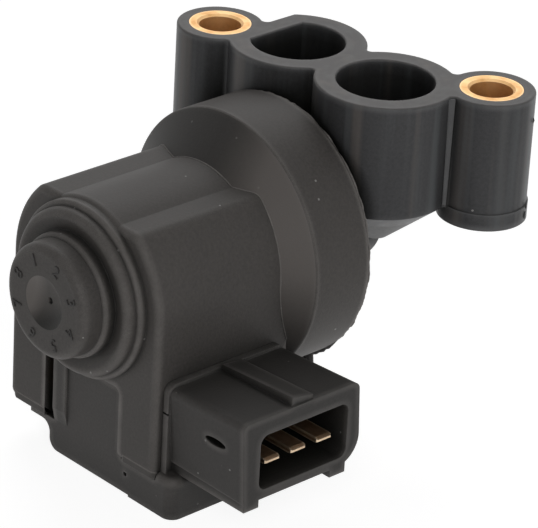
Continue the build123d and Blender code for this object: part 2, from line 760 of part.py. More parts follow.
with BuildPart() as slide_clip:
    ring(slide_hub_rear + press_fit, slide_rear, shaft_radius + press_fit, clip_radius)
slide_clip.part.label = "slide_clip"

pieces = [
    valve_housing.part, *bushes, motor_housing.part, connector_body.part, *terminals,
    stator_core.part, coil_bobbin.part, *windings, front_bearing_bush.part, thrust_washer.part,
    bearing_outer_ring.part, bearing_inner_ring.part, bearing_cage.part, *balls, retaining_ring.part,
    shaft_seal.part, housing_seal.part, rotor_shaft.part, magnet_hub.part, rotor_magnet.part,
    rotary_slide.part, slide_clip.part,
]
os.makedirs("parts", exist_ok=True)
for piece in pieces:
    export_step(piece, f"parts/{piece.label}.step")
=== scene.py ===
"""Looks of the idle air control valve: finishes, small moulded details, light and camera."""
import json
import math

import bmesh
import bpy
from mathutils import Matrix, Vector, noise


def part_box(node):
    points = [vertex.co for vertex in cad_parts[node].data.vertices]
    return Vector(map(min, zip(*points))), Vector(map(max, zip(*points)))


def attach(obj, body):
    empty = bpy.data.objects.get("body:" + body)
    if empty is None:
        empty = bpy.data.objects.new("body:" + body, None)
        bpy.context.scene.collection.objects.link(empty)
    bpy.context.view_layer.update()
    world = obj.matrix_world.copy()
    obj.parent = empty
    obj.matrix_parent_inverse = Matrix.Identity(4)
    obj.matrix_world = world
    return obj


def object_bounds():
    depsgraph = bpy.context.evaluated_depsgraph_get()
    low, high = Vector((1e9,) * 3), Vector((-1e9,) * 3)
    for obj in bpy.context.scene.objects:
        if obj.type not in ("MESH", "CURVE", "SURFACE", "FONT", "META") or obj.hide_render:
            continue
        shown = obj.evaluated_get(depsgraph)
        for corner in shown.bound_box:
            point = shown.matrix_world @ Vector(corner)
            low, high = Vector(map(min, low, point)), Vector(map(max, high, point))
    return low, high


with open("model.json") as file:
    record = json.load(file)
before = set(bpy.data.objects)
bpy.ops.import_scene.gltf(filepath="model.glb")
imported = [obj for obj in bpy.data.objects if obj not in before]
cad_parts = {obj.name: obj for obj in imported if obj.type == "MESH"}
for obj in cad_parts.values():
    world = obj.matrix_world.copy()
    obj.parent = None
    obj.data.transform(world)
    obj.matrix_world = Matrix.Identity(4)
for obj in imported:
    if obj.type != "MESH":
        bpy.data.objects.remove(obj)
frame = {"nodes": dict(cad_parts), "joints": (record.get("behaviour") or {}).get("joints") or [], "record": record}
cad_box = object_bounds()

MM = 0.001

# Places taken from the frame
joint = frame["joints"][0]
axis_z = joint["pos_m"][2]
housing_low, housing_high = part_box("motor_housing")
knob_front = housing_low.y
drum_rear = housing_high.y
drum_radius = housing_high.x
floor_z = cad_box[0].z
object_middle = (cad_box[0] + cad_box[1]) / 2

# Camera solved from the photograph: place, axes and lens
CAMERA_PLACE = Vector((339.69, -343.58, 203.79)) * MM
CAMERA_RIGHT = Vector((0.6758, 0.7353, 0.0515))
CAMERA_FORWARD = Vector((-0.6441, 0.6231, -0.4437))
CAMERA_LENS = 236.26
CAMERA_SENSOR = 36.0
CAMERA_NEAR = 0.01
CAMERA_FAR = 20

# Skin of the plastics: shine, soft edges, mottling, gloss and grain, with clouds counted per metre
PLASTIC_IOR = 1.5
PLASTIC_SPECULAR = 0.22
SOFT_EDGE = 0.3 * MM
BROAD_CLOUDS = 70
BROAD_SHARE = 0.4
FINE_CLOUDS = 2200
FINE_SHARE = 0.6
GLOSS_SPREAD = 0.06
GRAIN_SIZE = 0.3 * MM
GRAIN_STRENGTH = 0.6

# Specks of dust, one in some of the cells, and upright streaks of painted sheen in two tints
DUST = (0.3, 0.29, 0.28)
SPECK_CELLS = 620
SPECK_RADIUS = 0.11
SHEEN_STREAKS = ((240, (0.15, 0.132, 0.12)), (310, (0.11, 0.117, 0.12)))
SHEEN_STREAK_STRETCH = (1, 1, 0.03)

# Worn edges, with a painted highlight on the plastics: how far wear and highlight reach, and how unevenly they lie
WEAR_AND_HIGHLIGHT_REACH = 1.1 * MM
FINE_WEAR_AND_HIGHLIGHT_REACH = 0.25 * MM
METAL_WEAR_REACH = 0.35 * MM
WEAR_AND_HIGHLIGHT_CLOUDS = 320
WEAR_AND_HIGHLIGHT_OPENNESS = (0.95, 0.66)
OCCLUSION_SAMPLES = 4

# Painted shade in grooves and hollows: how far it reaches, and how open the unshaded and the darkest places are
PAINTED_SHADE = (0.006, 0.006, 0.005)
GROOVES = (1.8 * MM, 0.8, -0.4)
HOLLOWS = (13 * MM, 0.75, 0.25)

# Painted light and painted shade that lie in certain places, the plain tone of the knob dish, and the paler ground
# port face: where each begins and is full, and how thick it is
PALE = (0.17, 0.155, 0.145)
CONE_FRONT = (-32 * MM, -31 * MM)
CONE_SLOPES = ((-0.72, -0.78), (-0.9, -0.84))
CONE_PAINTED_LIGHT_RIGHT = (0, 9 * MM)
CONE_PAINTED_LIGHT_UPPER = (axis_z - 14 * MM, axis_z + 2 * MM)
CONE_PAINTED_LIGHT = 0.8
CONE_PAINTED_SHADE_LEFT = (10 * MM, 2 * MM)
CONE_PAINTED_SHADE_UPPER = (axis_z + 4 * MM, axis_z + 12 * MM)
CONE_PAINTED_SHADE = 0.6
DISH_RIM = (4.6 * MM, 4.3 * MM)
DISH_FLOOR = (knob_front + 1.6 * MM, knob_front + 1.4 * MM)
DISH_LEAN = (0.08, 0.36)
DISH_PLAIN = (0.067, 0.062, 0.058)
DISH_LIT_WAY = (0.97, 0, -0.25)
DISH_SHADED_WAY = (-0.5, 0, 0.87)
DISH_SHARE = 0.8
PORT_FACE = (-0.25 * MM, -0.05 * MM)
PORT_FACE_SHARE = 0.35
LEDGE_TOP = -46.5 * MM
LEDGE_LEFT = (15.6 * MM, 16.1 * MM)
LEDGE_REAR = (-48.0 * MM, -48.5 * MM)
LEDGE_UPPER = (LEDGE_TOP + 0.3 * MM, LEDGE_TOP)
LEDGE_LOWER = (LEDGE_TOP - 1.6 * MM, LEDGE_TOP - 0.6 * MM)
LEDGE_PAINTED_LIGHT = 0.3
SHROUD_LEFT = (17.2 * MM, 18.2 * MM)
SHROUD_LOWER = (LEDGE_TOP, LEDGE_TOP + 0.5 * MM)
SHROUD_PAINTED_SHADE_NEAR = 0.25
SHROUD_PAINTED_SHADE = 0.45
PORTS = ((9.46 * MM, -2.6 * MM, 7.3 * MM), (-8.88 * MM, -3.0 * MM, 7.1 * MM))
PORT_WALL = (0.5 * MM, 0.2 * MM)
PORT_SHADE_DEPTH = (-0.2 * MM, -2.5 * MM)
PORT_PAINTED_SHADE = 0.7

# Metals: tarnish, gloss and marks
TARNISH_CLOUDS = 500
DULLER = 0.08
GLOSSIER = 0.05
MARK_DEPTH = 0.01 * MM
MARK_STRENGTH = 0.3
BAND_STRENGTH = 0.6

# Raised digits round the knob
DIGIT_COUNT = 8
DIGIT_START = 112.0
DIGIT_RADIUS = 6.2 * MM
DIGIT_SIZE = 2.7 * MM
DIGIT_RELIEF = 0.12 * MM

# Weld seam behind the drum: its beads, how it wanders, and where it is most ragged
WELD_STEPS = 540
WELD_RADIUS = 0.16 * MM
WELD_SUNK = 0.27 * MM
WELD_WANDER = 0.12 * MM
WELD_LUMPS = 9
WELD_CRUMBS = 0.3
WELD_CRUMB_SHARE = 0.6
WELD_ROUGH = 0.5
WELD_THINNEST = 0.4
RAGGED_ANGLE = math.radians(-48)
RAGGED_GAIN = 2.5
RAGGED_FOCUS = 8

# Flash on the lower rear edge of the drum: beads of points with an angle, a reach and a radius in millimetres
DRUM_FLASH_BEFORE = 0.35 * MM
DRUM_FLASH = (
    ((-68, 20.2, 0.15), (-65, 20.3, 0.4), (-62, 20.35, 0.32), (-59, 20.3, 0.46), (-57, 20.3, 0.3),
     (-54, 20.3, 0.42), (-52, 20.2, 0.3), (-50, 20.2, 0.4), (-46, 20.15, 0.22), (-42, 20.1, 0.1)),
    ((-63.4, 20.2, 0.65), (-64.0, 21.2, 0.6), (-64.6, 22.3, 0.5)),
    ((-66.2, 20.1, 0.7), (-66.4, 21.1, 0.7), (-66.6, 22.0, 0.6)),
    ((-69.0, 20.0, 0.6), (-69.0, 20.7, 0.6), (-69.0, 21.4, 0.5)),
)

# Lower front edge of the legs: its place, and its section as depth and height from the sharp edge
BODY_FRONT = -50.9 * MM
LEG_BOTTOM = -47.65 * MM
LEG_ROUND = 1.4 * MM
LEG_SUNK = 0.6 * MM
LEFT_LEG = (-16.4 * MM, -8.4 * MM)
LEFT_LEG_STEPS = 12
RIGHT_LEG = (9.1 * MM, 15.9 * MM)
RIGHT_LEG_STEPS = 8
RIGHT_LEG_TURN = 80
FRONT_ROUND = 0.9 * MM
LEG_EDGE_SECTION = [(back * MM, inward * MM) for back, inward in
                    ((0.005, 1.35), (0.005, 0.14), (0.13, 0.005), (1.35, 0.005), (0.75, 0.75))]

# Web beside the right boss: its two ends with its width there, in millimetres, and how far it reaches in
WEB_ENDS = (((20.0, 0.6, -0.3), 1.0), ((19.9, 0.75, -17.3), 0.6))
WEB_ACROSS = Vector((0.72, 0.69, 0))
WEB_DEPTH = 1.5 * MM

# Bits of moulding flash on the right boss, as points of short beads in millimetres
FLASH_RADIUS = 0.14 * MM
FLASH = (((26.8, 10.95, -3.4), (26.9, 10.9, -3.8), (26.8, 10.95, -4.2)),
         ((26.95, 10.9, -16.6), (27.1, 10.75, -17.2), (27.0, 10.85, -17.9)),
         ((27.2, 10.5, -18.2), (27.25, 10.45, -18.9), (27.2, 10.5, -19.4)))

# Bead where the body runs into the cone: how the cone leans, and where on the housing it lies
BEAD_RADIUS = 0.13 * MM
CONE_LEAN = -0.808
LEAN_MARGIN = 0.01
SEAM_REACH = 0.6 * drum_radius
SAME_PLACE = 0.001 * MM

# Light: glow of the lit floor for matt surfaces and as seen, and the lamps
FLOOR_SIZE = 6
FLOOR_MATTE = (0.45, 0.45, 0.45, 1)
FLOOR_BOUNCE = 0.42
FLOOR_SEEN = 0.88
LAMPS = (
    ("lamp_back", (-0.7, 0.68, 1.15), 1.0, 6.2),
    ("lamp_right", (0.67, 0.19, 0.4), 0.5, 0.9),
    ("lamp_front", (0.5, -0.48, 0.4), 0.5, 1.6),
)


def make_node(tree, kind, inputs=None, **settings):
    """Adds a node, sets its properties, and links or sets its inputs."""
    made = tree.nodes.new(kind)
    for name, value in settings.items():
        setattr(made, name, value)
    for name, value in (inputs or {}).items():
        if isinstance(value, bpy.types.NodeSocket):
            tree.links.new(value, made.inputs[name])
        else:
            made.inputs[name].default_value = value
    return made


def math_node(tree, operation, first, second=0.5):
    """Result of one sum, product or comparison."""
    return make_node(tree, "ShaderNodeMath", {0: first, 1: second}, operation=operation).outputs[0]


def vector_node(tree, operation, first, second=(0, 0, 0)):
    """Node for one sum, product or measure of vectors."""
    return make_node(tree, "ShaderNodeVectorMath", {0: first, 1: second}, operation=operation)


def product(tree, first, *others):
    """Product of several factors."""
    for other in others:
        first = math_node(tree, "MULTIPLY", first, other)
    return first


def ramp(tree, factor, low, high):
    """Factor spread so that low gives 0 and high gives 1."""
    inputs = {"Value": factor, "From Min": low, "From Max": high}
    return make_node(tree, "ShaderNodeMapRange", inputs).outputs[0]


def spread(tree, factor, low, high):
    """Factor spread so that 0 gives low and 1 gives high."""
    inputs = {"Value": factor, "To Min": low, "To Max": high}
    return make_node(tree, "ShaderNodeMapRange", inputs).outputs[0]


def mix_colour(tree, factor, first, second):
    """Colour between two others."""
    made = make_node(tree, "ShaderNodeMix", {"Factor": factor}, data_type="RGBA")
    for socket, value in ((made.inputs[6], first), (made.inputs[7], second)):
        if isinstance(value, bpy.types.NodeSocket):
            tree.links.new(value, socket)
        else:
            socket.default_value = (*value, 1)
    return made.outputs[2]


def new_material(name, **sockets):
    """Empty procedural material. Returns it with its node tree and its shader."""
    material = bpy.data.materials.new(name)
    material.use_nodes = True
    tree = material.node_tree
    shader = tree.nodes["Principled BSDF"]
    for socket, value in sockets.items():
        shader.inputs[socket.replace("_", " ")].default_value = value
    return material, tree, shader


def object_place(tree):
    """Place on the object, in metres, in the frame of the part."""
    return make_node(tree, "ShaderNodeTexCoord").outputs["Object"]


def facing(tree):
    """The way that the surface faces, in the frame of the part."""
    return make_node(tree, "ShaderNodeTexCoord").outputs["Normal"]


def axis_values(tree, place):
    """The three coordinates of a place."""
    return make_node(tree, "ShaderNodeSeparateXYZ", {"Vector": place}).outputs


def clouds(tree, place, scale, detail=2.0, roughness=0.5):
    """Cloudy noise between 0 and 1."""
    inputs = {"Vector": place, "Scale": scale, "Detail": detail, "Roughness": roughness}
    return make_node(tree, "ShaderNodeTexNoise", inputs).outputs["Fac"]


def specks(tree, place, share):
    """Mask of small round specks, one in a share of the cells."""
    cells = make_node(tree, "ShaderNodeTexVoronoi", {"Vector": place, "Scale": SPECK_CELLS})
    near = math_node(tree, "LESS_THAN", cells.outputs["Distance"], SPECK_RADIUS)
    chosen = make_node(tree, "ShaderNodeSeparateColor", {"Color": cells.outputs["Color"]}).outputs[0]
    return product(tree, near, math_node(tree, "LESS_THAN", chosen, share))


def wear_and_highlight(tree, place, reach):
    """Mask of the convex edges and small roundings, worn unevenly, which the plastics also use for a painted
    highlight.
    """
    inner = make_node(tree, "ShaderNodeAmbientOcclusion", {"Distance": reach},
                      samples=OCCLUSION_SAMPLES, inside=True, only_local=True)
    uneven = ramp(tree, clouds(tree, place, WEAR_AND_HIGHLIGHT_CLOUDS, 3), -0.2, 0.75)
    return product(tree, ramp(tree, inner.outputs["AO"], *WEAR_AND_HIGHLIGHT_OPENNESS), uneven)


def painted_hollow_shade(tree, reach, clean, full):
    """Mask of painted shade in grooves and hollows: none where this open, and most where this closed."""
    outer = make_node(tree, "ShaderNodeAmbientOcclusion", {"Distance": reach}, samples=OCCLUSION_SAMPLES)
    return ramp(tree, outer.outputs["AO"], clean, full)


def cone_face(tree, place):
    """Mask of the cone, by its place along the axis and its slope."""
    slope = axis_values(tree, facing(tree))[1]
    behind = ramp(tree, axis_values(tree, place)[1], *CONE_FRONT)
    return product(tree, behind, *[ramp(tree, slope, *limits) for limits in CONE_SLOPES])


def painted_light_cone(tree, place):
    """Painted light on the right side of the cone."""
    values = axis_values(tree, place)
    right = ramp(tree, values[0], *CONE_PAINTED_LIGHT_RIGHT)
    upper = ramp(tree, values[2], *CONE_PAINTED_LIGHT_UPPER)
    return product(tree, cone_face(tree, place), right, upper, CONE_PAINTED_LIGHT)


def painted_shade_cone(tree, place):
    """Painted shade on the top of the cone."""
    values = axis_values(tree, place)
    left = ramp(tree, values[0], *CONE_PAINTED_SHADE_LEFT)
    upper = ramp(tree, values[2], *CONE_PAINTED_SHADE_UPPER)
    return product(tree, cone_face(tree, place), left, upper, CONE_PAINTED_SHADE)


def knob_dish(tree, place):
    """Mask of the dish in the face of the knob."""
    x, y, z = axis_values(tree, place)
    across = math_node(tree, "POWER", x, 2)
    upright = math_node(tree, "POWER", math_node(tree, "SUBTRACT", z, axis_z), 2)
    away = math_node(tree, "SQRT", math_node(tree, "ADD", across, upright))
    return product(tree, ramp(tree, away, *DISH_RIM), ramp(tree, y, *DISH_FLOOR))


def dish_side(tree, place, way):
    """Mask of the side of the dish that faces one way."""
    lean = vector_node(tree, "DOT_PRODUCT", facing(tree), way).outputs["Value"]
    return product(tree, knob_dish(tree, place), ramp(tree, lean, *DISH_LEAN), DISH_SHARE)


def painted_light_dish(tree, place):
    """Painted light on the left side of the dish."""
    return dish_side(tree, place, DISH_LIT_WAY)


def painted_shade_dish(tree, place):
    """Painted shade in the lower right side of the dish."""
    return dish_side(tree, place, DISH_SHADED_WAY)


def ground_face(tree, place):
    """Port face, ground flat and paler than the moulded skin."""
    height = axis_values(tree, place)[2]
    return product(tree, ramp(tree, height, *PORT_FACE), PORT_FACE_SHARE)


def painted_light_ledge(tree, place):
    """Painted light on the ledge of the base in front of the shroud."""
    x, y, z = axis_values(tree, place)
    across = product(tree, ramp(tree, x, *LEDGE_LEFT), ramp(tree, y, *LEDGE_REAR))
    return product(tree, across, ramp(tree, z, *LEDGE_UPPER), ramp(tree, z, *LEDGE_LOWER), LEDGE_PAINTED_LIGHT)


def painted_shade_shroud(tree, place):
    """Painted shade on the shroud, weaker on its near side."""
    values = axis_values(tree, place)
    away = ramp(tree, axis_values(tree, facing(tree))[1], -1, 0)
    thick = spread(tree, away, SHROUD_PAINTED_SHADE_NEAR, SHROUD_PAINTED_SHADE)
    return product(tree, thick, ramp(tree, values[0], *SHROUD_LEFT), ramp(tree, values[2], *SHROUD_LOWER))


def painted_shade_ports(tree, place):
    """Painted shade on the walls of the two ports, from just below the port face."""
    height = axis_values(tree, place)[2]
    begin, full = PORT_WALL
    inside = 0.0
    for port_x, port_y, radius in PORTS:
        middle = vector_node(tree, "SUBTRACT", place, (port_x, port_y, 0)).outputs[0]
        flat = vector_node(tree, "MULTIPLY", middle, (1, 1, 0)).outputs[0]
        away = vector_node(tree, "LENGTH", flat).outputs["Value"]
        inside = math_node(tree, "MAXIMUM", ramp(tree, away, radius + begin, radius + full), inside)
    return product(tree, inside, ramp(tree, height, *PORT_SHADE_DEPTH), PORT_PAINTED_SHADE)


def moulded_plastic(name, dark, light, edge, roughness, grain_depth, speck_share=0.01, grain_size=GRAIN_SIZE,
                    sheen_streak=0.0, covers=(), outside=False, wear_and_highlight_reach=WEAR_AND_HIGHLIGHT_REACH):
    """Glass-filled plastic: grain, mottling, streaks of painted sheen, paler edges of wear and painted highlight,
    specks of dust, painted shade in hollows, and covers, most of them painted light and painted shade.
    """
    material, tree, shader = new_material(name, IOR=PLASTIC_IOR, Specular_IOR_Level=PLASTIC_SPECULAR)
    place = object_place(tree)
    rounded = make_node(tree, "ShaderNodeBevel", {"Radius": SOFT_EDGE}, samples=6)
    broad = ramp(tree, clouds(tree, place, BROAD_CLOUDS, 3), 0.25, 0.75)
    fine = ramp(tree, clouds(tree, place, FINE_CLOUDS, 2, 0.7), 0.3, 0.7)
    mottle = math_node(tree, "ADD", product(tree, broad, BROAD_SHARE), product(tree, fine, FINE_SHARE))
    colour = mix_colour(tree, mottle, dark, light)
    # Upright streaks of painted sheen
    upright = vector_node(tree, "MULTIPLY", place, SHEEN_STREAK_STRETCH).outputs[0]
    for scale, tint in SHEEN_STREAKS:
        line = ramp(tree, clouds(tree, upright, scale, 3), 0.52, 0.75)
        colour = mix_colour(tree, product(tree, line, sheen_streak), colour, tint)
    # Paler edges: wear, and a painted highlight on the roundings
    colour = mix_colour(tree, wear_and_highlight(tree, place, wear_and_highlight_reach), colour, edge)
    colour = mix_colour(tree, specks(tree, place, speck_share), colour, DUST)
    # Painted shade in grooves and hollows, on the outer plastics
    if outside:
        for limits in (GROOVES, HOLLOWS):
            colour = mix_colour(tree, painted_hollow_shade(tree, *limits), colour, PAINTED_SHADE)
    # Covers, most of them painted light and painted shade
    for mask, tint in covers:
        colour = mix_colour(tree, mask(tree, place), colour, tint)
    tree.links.new(colour, shader.inputs["Base Color"])
    gloss = spread(tree, mottle, roughness - GLOSS_SPREAD, roughness + GLOSS_SPREAD)
    tree.links.new(gloss, shader.inputs["Roughness"])
    relief = make_node(tree, "ShaderNodeBump", {
        "Height": clouds(tree, place, 1 / grain_size, 2, 0.6), "Distance": grain_depth,
        "Strength": GRAIN_STRENGTH, "Normal": rounded.outputs[0]})
    tree.links.new(relief.outputs[0], shader.inputs["Normal"])
    return material


def turned_metal(name, dark, light, edge, roughness, mark_size):
    """Bare metal with fine turning marks, a cloudy tarnish and brighter edges."""
    material, tree, shader = new_material(name, Metallic=1.0)
    place = object_place(tree)
    cloud = ramp(tree, clouds(tree, place, TARNISH_CLOUDS, 3), 0.3, 0.7)
    colour = mix_colour(tree, cloud, dark, light)
    colour = mix_colour(tree, wear_and_highlight(tree, place, METAL_WEAR_REACH), colour, edge)
    tree.links.new(colour, shader.inputs["Base Color"])
    gloss = spread(tree, cloud, roughness + DULLER, roughness - GLOSSIER)
    tree.links.new(gloss, shader.inputs["Roughness"])
    relief = make_node(tree, "ShaderNodeBump", {
        "Height": clouds(tree, place, 1 / mark_size, 2), "Distance": MARK_DEPTH, "Strength": MARK_STRENGTH})
    tree.links.new(relief.outputs[0], shader.inputs["Normal"])
    return material


def striped(name, dark, light, roughness, pitch, along):
    """Metal with fine even bands along one axis, as on wound wire or stacked sheets."""
    material, tree, shader = new_material(name, Metallic=1.0, Roughness=roughness)
    inputs = {"Vector": object_place(tree), "Scale": math.pi / 10 / pitch}
    bands = make_node(tree, "ShaderNodeTexWave", inputs, bands_direction=along).outputs["Fac"]
    tree.links.new(mix_colour(tree, bands, dark, light), shader.inputs["Base Color"])
    relief = make_node(tree, "ShaderNodeBump",
                       {"Height": bands, "Distance": pitch / 4, "Strength": BAND_STRENGTH})
    tree.links.new(relief.outputs[0], shader.inputs["Normal"])
    return material


# Look of the housing, which the leg edges share; its edge colour is wear and painted highlight
HOUSING_LOOK = {"dark": (0.05, 0.046, 0.043), "light": (0.088, 0.081, 0.076), "edge": (0.26, 0.243, 0.23),
                "roughness": 0.54, "grain_depth": 0.05 * MM, "outside": True}
# Covers of the housing: painted light on the cone's right and the dish's left, painted shade on the cone's top and
# the dish's lower right, and the dish's plain tone
HOUSING_COVERS = ((painted_light_cone, PALE), (painted_shade_cone, PAINTED_SHADE), (knob_dish, DISH_PLAIN),
                  (painted_light_dish, PALE), (painted_shade_dish, PAINTED_SHADE))

finishes = {
    "housing_plastic": moulded_plastic("housing_plastic", speck_share=0.12, covers=HOUSING_COVERS,
                                       **HOUSING_LOOK),
    # Connector: painted light on the ledge, painted shade on the shroud
    "connector_plastic": moulded_plastic("connector_plastic", (0.044, 0.041, 0.039), (0.076, 0.071, 0.067),
                                         (0.19, 0.178, 0.169), 0.54, 0.05 * MM, speck_share=0.1,
                                         covers=((painted_light_ledge, PALE), (painted_shade_shroud, PAINTED_SHADE)), outside=True),
    # Valve housing: streaks of painted sheen, the paler ground port face, and painted shade in the ports
    "valve_plastic": moulded_plastic("valve_plastic", (0.04, 0.04, 0.042), (0.066, 0.066, 0.068),
                                     (0.14, 0.14, 0.142), 0.42, 0.012 * MM, speck_share=0.015, sheen_streak=0.9,
                                     covers=((ground_face, PALE), (painted_shade_ports, PAINTED_SHADE)), outside=True),
    "bush_brass": turned_metal("bush_brass", (0.55, 0.31, 0.12), (0.74, 0.48, 0.23),
                               (0.8, 0.57, 0.33), 0.48, 0.2 * MM),
    "blade_bronze": turned_metal("blade_bronze", (0.32, 0.19, 0.11), (0.56, 0.36, 0.22),
                                 (0.88, 0.74, 0.54), 0.4, 0.15 * MM),
    "core_steel": striped("core_steel", (0.22, 0.22, 0.23), (0.42, 0.42, 0.43), 0.45, 0.5 * MM, "Y"),
    "bobbin_plastic": moulded_plastic("bobbin_plastic", (0.72, 0.7, 0.62), (0.8, 0.78, 0.7),
                                      (0.84, 0.83, 0.78), 0.5, 0.01 * MM),
    "winding_copper": striped("winding_copper", (0.34, 0.12, 0.05), (0.66, 0.3, 0.15), 0.35, 0.28 * MM, "X"),
    "sintered_bronze": turned_metal("sintered_bronze", (0.4, 0.28, 0.14), (0.52, 0.4, 0.22),
                                    (0.6, 0.48, 0.28), 0.5, 0.1 * MM),
    "cage_plastic": moulded_plastic("cage_plastic", (0.5, 0.44, 0.32), (0.58, 0.52, 0.4),
                                    (0.64, 0.6, 0.5), 0.45, 0.01 * MM),
    "seal_rubber": moulded_plastic("seal_rubber", (0.02, 0.02, 0.02), (0.03, 0.03, 0.03),
                                   (0.05, 0.05, 0.05), 0.6, 0.01 * MM, grain_size=0.2 * MM),
    "hub_aluminium": turned_metal("hub_aluminium", (0.62, 0.62, 0.62), (0.76, 0.76, 0.77),
                                  (0.85, 0.85, 0.85), 0.35, 0.2 * MM),
    "magnet_ferrite": turned_metal("magnet_ferrite", (0.1, 0.1, 0.11), (0.15, 0.15, 0.16),
                                   (0.24, 0.24, 0.25), 0.5, 0.1 * MM),
    "slide_aluminium": turned_metal("slide_aluminium", (0.5, 0.5, 0.5), (0.66, 0.66, 0.65),
                                    (0.78, 0.78, 0.78), 0.45, 0.3 * MM),
    "bearing_steel": turned_metal("bearing_steel", (0.55, 0.55, 0.56), (0.68, 0.68, 0.7),
                                  (0.8, 0.8, 0.81), 0.2, 0.2 * MM),
}

# Variants of the housing's finish: darkened with painted shade for digits and flash, and finely worn with a fine
# painted highlight for the leg edges
painted_shade_plastic = moulded_plastic("housing_plastic_painted_shade", (0.018, 0.017, 0.016), (0.03, 0.028, 0.026),
                        (0.05, 0.047, 0.045), 0.56, 0.03 * MM, speck_share=0.0)
crisp = moulded_plastic("housing_plastic_crisp", speck_share=0.045, wear_and_highlight_reach=FINE_WEAR_AND_HIGHLIGHT_REACH,
                        **HOUSING_LOOK)

for part in frame["record"]["subparts"]:
    mesh = frame["nodes"][part["node"]].data
    mesh.materials.clear()
    mesh.materials.append(finishes[part["material_slot"]])


def add_piece(name, shape, slot, finish=None):
    """Turns a finished mesh into a piece of the housing, with the finish of a slot or a variant of it."""
    mesh = bpy.data.meshes.new(name)
    shape.to_mesh(mesh)
    shape.free()
    piece = bpy.data.objects.new(name, mesh)
    bpy.context.scene.collection.objects.link(piece)
    mesh.materials.append(finish or finishes[slot])
    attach(piece, "housing")


def round_axis(angle, reach, y):
    """Point at an angle and a reach round the motor axis."""
    return Vector((math.cos(angle) * reach, y, axis_z + math.sin(angle) * reach))


def bead(shape, points, radii, closed=False, sides=8):
    """Round bead through a row of points, with its own radius at each of them."""
    count = len(points)
    rings = []
    for index, (point, radius) in enumerate(zip(points, radii)):
        before = points[index - 1] if index or closed else point
        after = points[(index + 1) % count] if index + 1 < count or closed else point
        along = (after - before).normalized()
        across = along.cross(Vector((0, 1, 0.2))).normalized()
        other = along.cross(across)
        ring = []
        for side in range(sides):
            angle = 2 * math.pi * side / sides
            outward = across * math.cos(angle) + other * math.sin(angle)
            ring.append(shape.verts.new(point + radius * outward))
        rings.append(ring)
    pairs = list(zip(rings, rings[1:]))
    if closed:
        pairs.append((rings[-1], rings[0]))
    join_rings(shape, pairs)
    if not closed:
        shape.faces.new(rings[0][::-1])
        shape.faces.new(rings[-1])


def join_rings(shape, pairs):
    """Faces between the two rings of each pair."""
    for first, second in pairs:
        count = len(first)
        for index in range(count):
            after = (index + 1) % count
            shape.faces.new((first[index], first[after], second[after], second[index]))


def leg_edge(shape, stations):
    """Strip that makes the lower front edge of a leg crisp, from corners, ways out and two insets."""
    rings = []
    for corner, outward, inset in stations:
        sunk, raised = inset
        ring = []
        for back, inward in LEG_EDGE_SECTION:
            place = corner - outward * (inward + raised)
            place.y = BODY_FRONT + back + sunk
            ring.append(shape.verts.new(place))
        rings.append(ring)
    shape.faces.new(rings[0])
    shape.faces.new(rings[-1])
    join_rings(shape, zip(rings, rings[1:]))


# Raised digits round the face of the knob
digits = bmesh.new()
for number in range(DIGIT_COUNT):
    angle = math.radians(DIGIT_START - number * 360 / DIGIT_COUNT)
    text = bpy.data.curves.new("digit", "FONT")
    text.body = str(number + 1)
    text.size = DIGIT_SIZE
    text.extrude = DIGIT_RELIEF
    text.align_x = "CENTER"
    text.align_y = "CENTER"
    holder = bpy.data.objects.new("digit", text)
    mesh = bpy.data.meshes.new_from_object(holder)
    upright = Matrix.Rotation(math.pi / 2, 4, "X")
    turned = Matrix.Rotation(math.pi / 2 - angle, 4, "Y")
    place = round_axis(angle, DIGIT_RADIUS, knob_front)
    mesh.transform(Matrix.Translation(place) @ turned @ upright)
    digits.from_mesh(mesh)
    bpy.data.meshes.remove(mesh)
    bpy.data.objects.remove(holder)
    bpy.data.curves.remove(text)
# The digits take the housing finish darkened with painted shade
add_piece("knob_digits", digits, "housing_plastic", painted_shade_plastic)

# Ragged weld seam where the valve housing is joined to the rear edge of the drum
weld = bmesh.new()
weld_points = []
weld_radii = []
for step in range(WELD_STEPS):
    angle = 2 * math.pi * step / WELD_STEPS
    lumps = noise.noise((math.cos(angle) * WELD_LUMPS, math.sin(angle) * WELD_LUMPS, 0))
    crumbs = noise.noise((step * WELD_CRUMBS, 3, 0))
    rough = lumps + WELD_CRUMB_SHARE * crumbs
    weld_points.append(round_axis(angle, drum_radius - WELD_SUNK + WELD_WANDER * rough, drum_rear))
    ragged = 1 + RAGGED_GAIN * max(0.0, math.cos(angle - RAGGED_ANGLE)) ** RAGGED_FOCUS
    weld_radii.append(WELD_RADIUS * max(WELD_THINNEST, 1 + WELD_ROUGH * rough * ragged))
bead(weld, weld_points, weld_radii, closed=True)
add_piece("drum_weld", weld, "housing_plastic")

# Flash that hangs from the weld seam, darkened with painted shade
drum_flash = bmesh.new()
for row in DRUM_FLASH:
    points = []
    for degrees, reach, radius in row:
        points.append(round_axis(math.radians(degrees), reach * MM, drum_rear - DRUM_FLASH_BEFORE))
    bead(drum_flash, points, [radius * MM for degrees, reach, radius in row])
add_piece("drum_flash", drum_flash, "housing_plastic", painted_shade_plastic)

